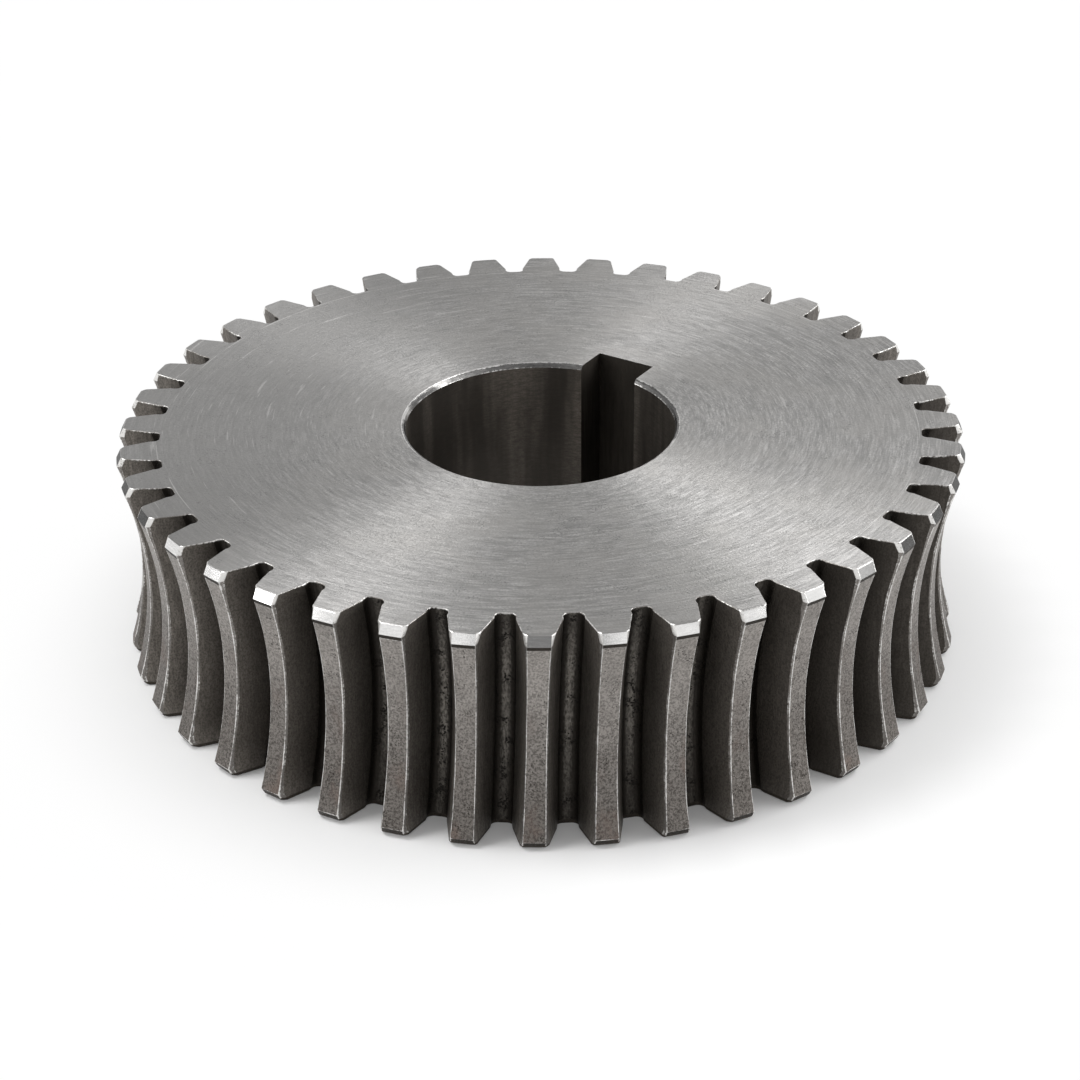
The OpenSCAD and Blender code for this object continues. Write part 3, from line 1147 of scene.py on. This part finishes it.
def put_floor(stage):
    """A pale floor, white to the camera and in the steel away from the wheel; near it, shifted to
    the front right, a painted shadow where the real shadow also shows.
    """
    half = stage.floor_size / 2
    corners = [(-half, -half, 0), (half, -half, 0), (half, half, 0), (-half, half, 0)]
    mesh = bpy.data.meshes.new("floor")
    mesh.from_pydata(corners, [], [(0, 1, 2, 3)])
    floor = put_object("floor", mesh)
    material = bpy.data.materials.new("studio_floor")
    material.use_nodes = True
    tree = material.node_tree
    tree.nodes.clear()
    rays = node(tree, "ShaderNodeLightPath").outputs
    mirrored = math_node(tree, "MAXIMUM", rays["Is Glossy Ray"], rays["Is Transmission Ray"])
    seen = math_node(tree, "MAXIMUM", rays["Is Camera Ray"], mirrored)
    spot = node(tree, "ShaderNodeTexCoord").outputs["Object"]
    turn = SHADOW_SIDE + VIEW_TURN
    shadow = Vector((math.cos(turn), math.sin(turn), 0)) * SHADOW_SHIFT
    moved = vector_node(tree, "SUBTRACT", "Vector", i0=spot, i1=shadow)
    # Painted shadow: the white share is lowest round a centre shifted to the front right of the
    # wheel
    share = spread(tree, vector_node(tree, "LENGTH", "Value", i0=moved), *FLOOR_WHITE)
    matte = node(tree, "ShaderNodeBsdfDiffuse", Color=(*stage.floor_colour, 1)).outputs[0]
    white = node(tree, "ShaderNodeEmission", Color=(1, 1, 1, 1), Strength=1.0).outputs[0]
    shown = math_node(tree, "MULTIPLY", seen, share)
    lit = node(tree, "ShaderNodeMixShader", Fac=shown, i1=matte, i2=white).outputs[0]
    below = node(tree, "ShaderNodeNewGeometry").outputs["Backfacing"]
    clear = node(tree, "ShaderNodeBsdfTransparent").outputs[0]
    both = node(tree, "ShaderNodeMixShader", Fac=below, i1=lit, i2=clear).outputs[0]
    node(tree, "ShaderNodeOutputMaterial", Surface=both)
    mesh.materials.append(material)


def set_world(stage):
    """A pale studio: white round the horizon, grey overhead, and darker behind the camera."""
    world = bpy.data.worlds.new("studio")
    bpy.context.scene.world = world
    world.use_nodes = True
    tree = world.node_tree
    tree.nodes.clear()
    way = node(tree, "ShaderNodeTexCoord").outputs["Generated"]
    height = node(tree, "ShaderNodeSeparateXYZ", i0=way).outputs["Z"]

    def facing(x, y, z=0.0):
        """How far a direction in the studio faces the one given."""
        return vector_node(tree, "DOT_PRODUCT", "Value", i0=way, i1=(x, y, z))

    cos, sin = math.cos(VIEW_TURN), math.sin(VIEW_TURN)
    front = math_node(tree, "MULTIPLY", spread(tree, facing(sin, -cos), -0.3, 0.5), FRONT_RISE)
    raised = math_node(tree, "SUBTRACT", height, front)
    sky = spread(tree, raised, *CEILING_EDGE, 1.0, stage.ceiling)
    side = math_node(tree, "ABSOLUTE", facing(cos, sin))
    sky = math_node(tree, "MULTIPLY", sky, spread(tree, side, 0.1, 0.8, 1.0, SIDE_LEVEL))
    overhead = facing(*Vector((sin, -cos, FLAG_TILT)).normalized())
    flag = spread(tree, overhead, 0.945, 0.985)
    flag = math_node(tree, "MULTIPLY", flag, spread(tree, height, 0.2, 0.3))
    level = math_node(tree, "MULTIPLY", sky, spread(tree, flag, 0.0, 1.0, 1.0, FLAG_LEVEL))
    shade = node(tree, "ShaderNodeBackground", Color=(1, 1, 1, 1), Strength=level).outputs[0]
    node(tree, "ShaderNodeOutputWorld", Surface=shade)


# Operators


class WORMGEAR_OT_wheel(bpy.types.Operator):
    """Build the steel wheel in place of the plain CAD solid"""

    bl_idname = "wormgear.wheel"
    bl_label = "Build Wheel"

    def execute(self, context):
        mesh = wheel_mesh(context.scene.worm_gear_sizes)
        for material in steel_finishes(context.scene.worm_gear_look):
            mesh.materials.append(material)
        wheel = put_object("worm_wheel", mesh)
        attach(wheel, CAD_BODY)
        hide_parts(CAD_NODE)
        return {"FINISHED"}


class WORMGEAR_OT_stage(bpy.types.Operator):
    """Set the floor, the studio, the lamps and the camera"""

    bl_idname = "wormgear.stage"
    bl_label = "Set Stage"

    def execute(self, context):
        stage = context.scene.worm_gear_stage
        context.scene.view_settings.view_transform = "Standard"
        put_camera(stage)
        put_floor(stage)
        set_world(stage)
        for name, (*place, level, share) in LAMPS.items():
            put_lamp(name, *place, share * getattr(stage, level))
        return {"FINISHED"}


class WORMGEAR_PT_panel(bpy.types.Panel):
    """The worm gear's sizes, colours and stage"""

    bl_idname = "WORMGEAR_PT_panel"
    bl_label = "Worm Gear"
    bl_space_type = "VIEW_3D"
    bl_region_type = "UI"
    bl_category = "Worm Gear"

    def draw(self, context):
        scene = context.scene
        operators = (WORMGEAR_OT_wheel, None, WORMGEAR_OT_stage)
        for operator, name in zip(operators, GROUPS, strict=True):
            box = self.layout.box()
            held = getattr(scene, name)
            for prop in held.bl_rna.properties:
                if prop.identifier not in ("rna_type", "name"):
                    box.prop(held, prop.identifier)
            if operator:
                box.operator(operator.bl_idname)


GROUPS = {
    "worm_gear_sizes": WormGearSizes,
    "worm_gear_look": WormGearLook,
    "worm_gear_stage": WormGearStage,
}
CLASSES = (*GROUPS.values(), WORMGEAR_OT_wheel, WORMGEAR_OT_stage, WORMGEAR_PT_panel)


def register():
    for cls in CLASSES:
        bpy.utils.register_class(cls)
    for name, cls in GROUPS.items():
        setattr(bpy.types.Scene, name, bpy.props.PointerProperty(type=cls))


def unregister():
    for name in GROUPS:
        delattr(bpy.types.Scene, name)
    for cls in reversed(CLASSES):
        bpy.utils.unregister_class(cls)


def main():
    """Builds everything in order."""
    register()
    bpy.ops.wormgear.wheel()
    bpy.ops.wormgear.stage()


if __name__ == "__main__":
    main()
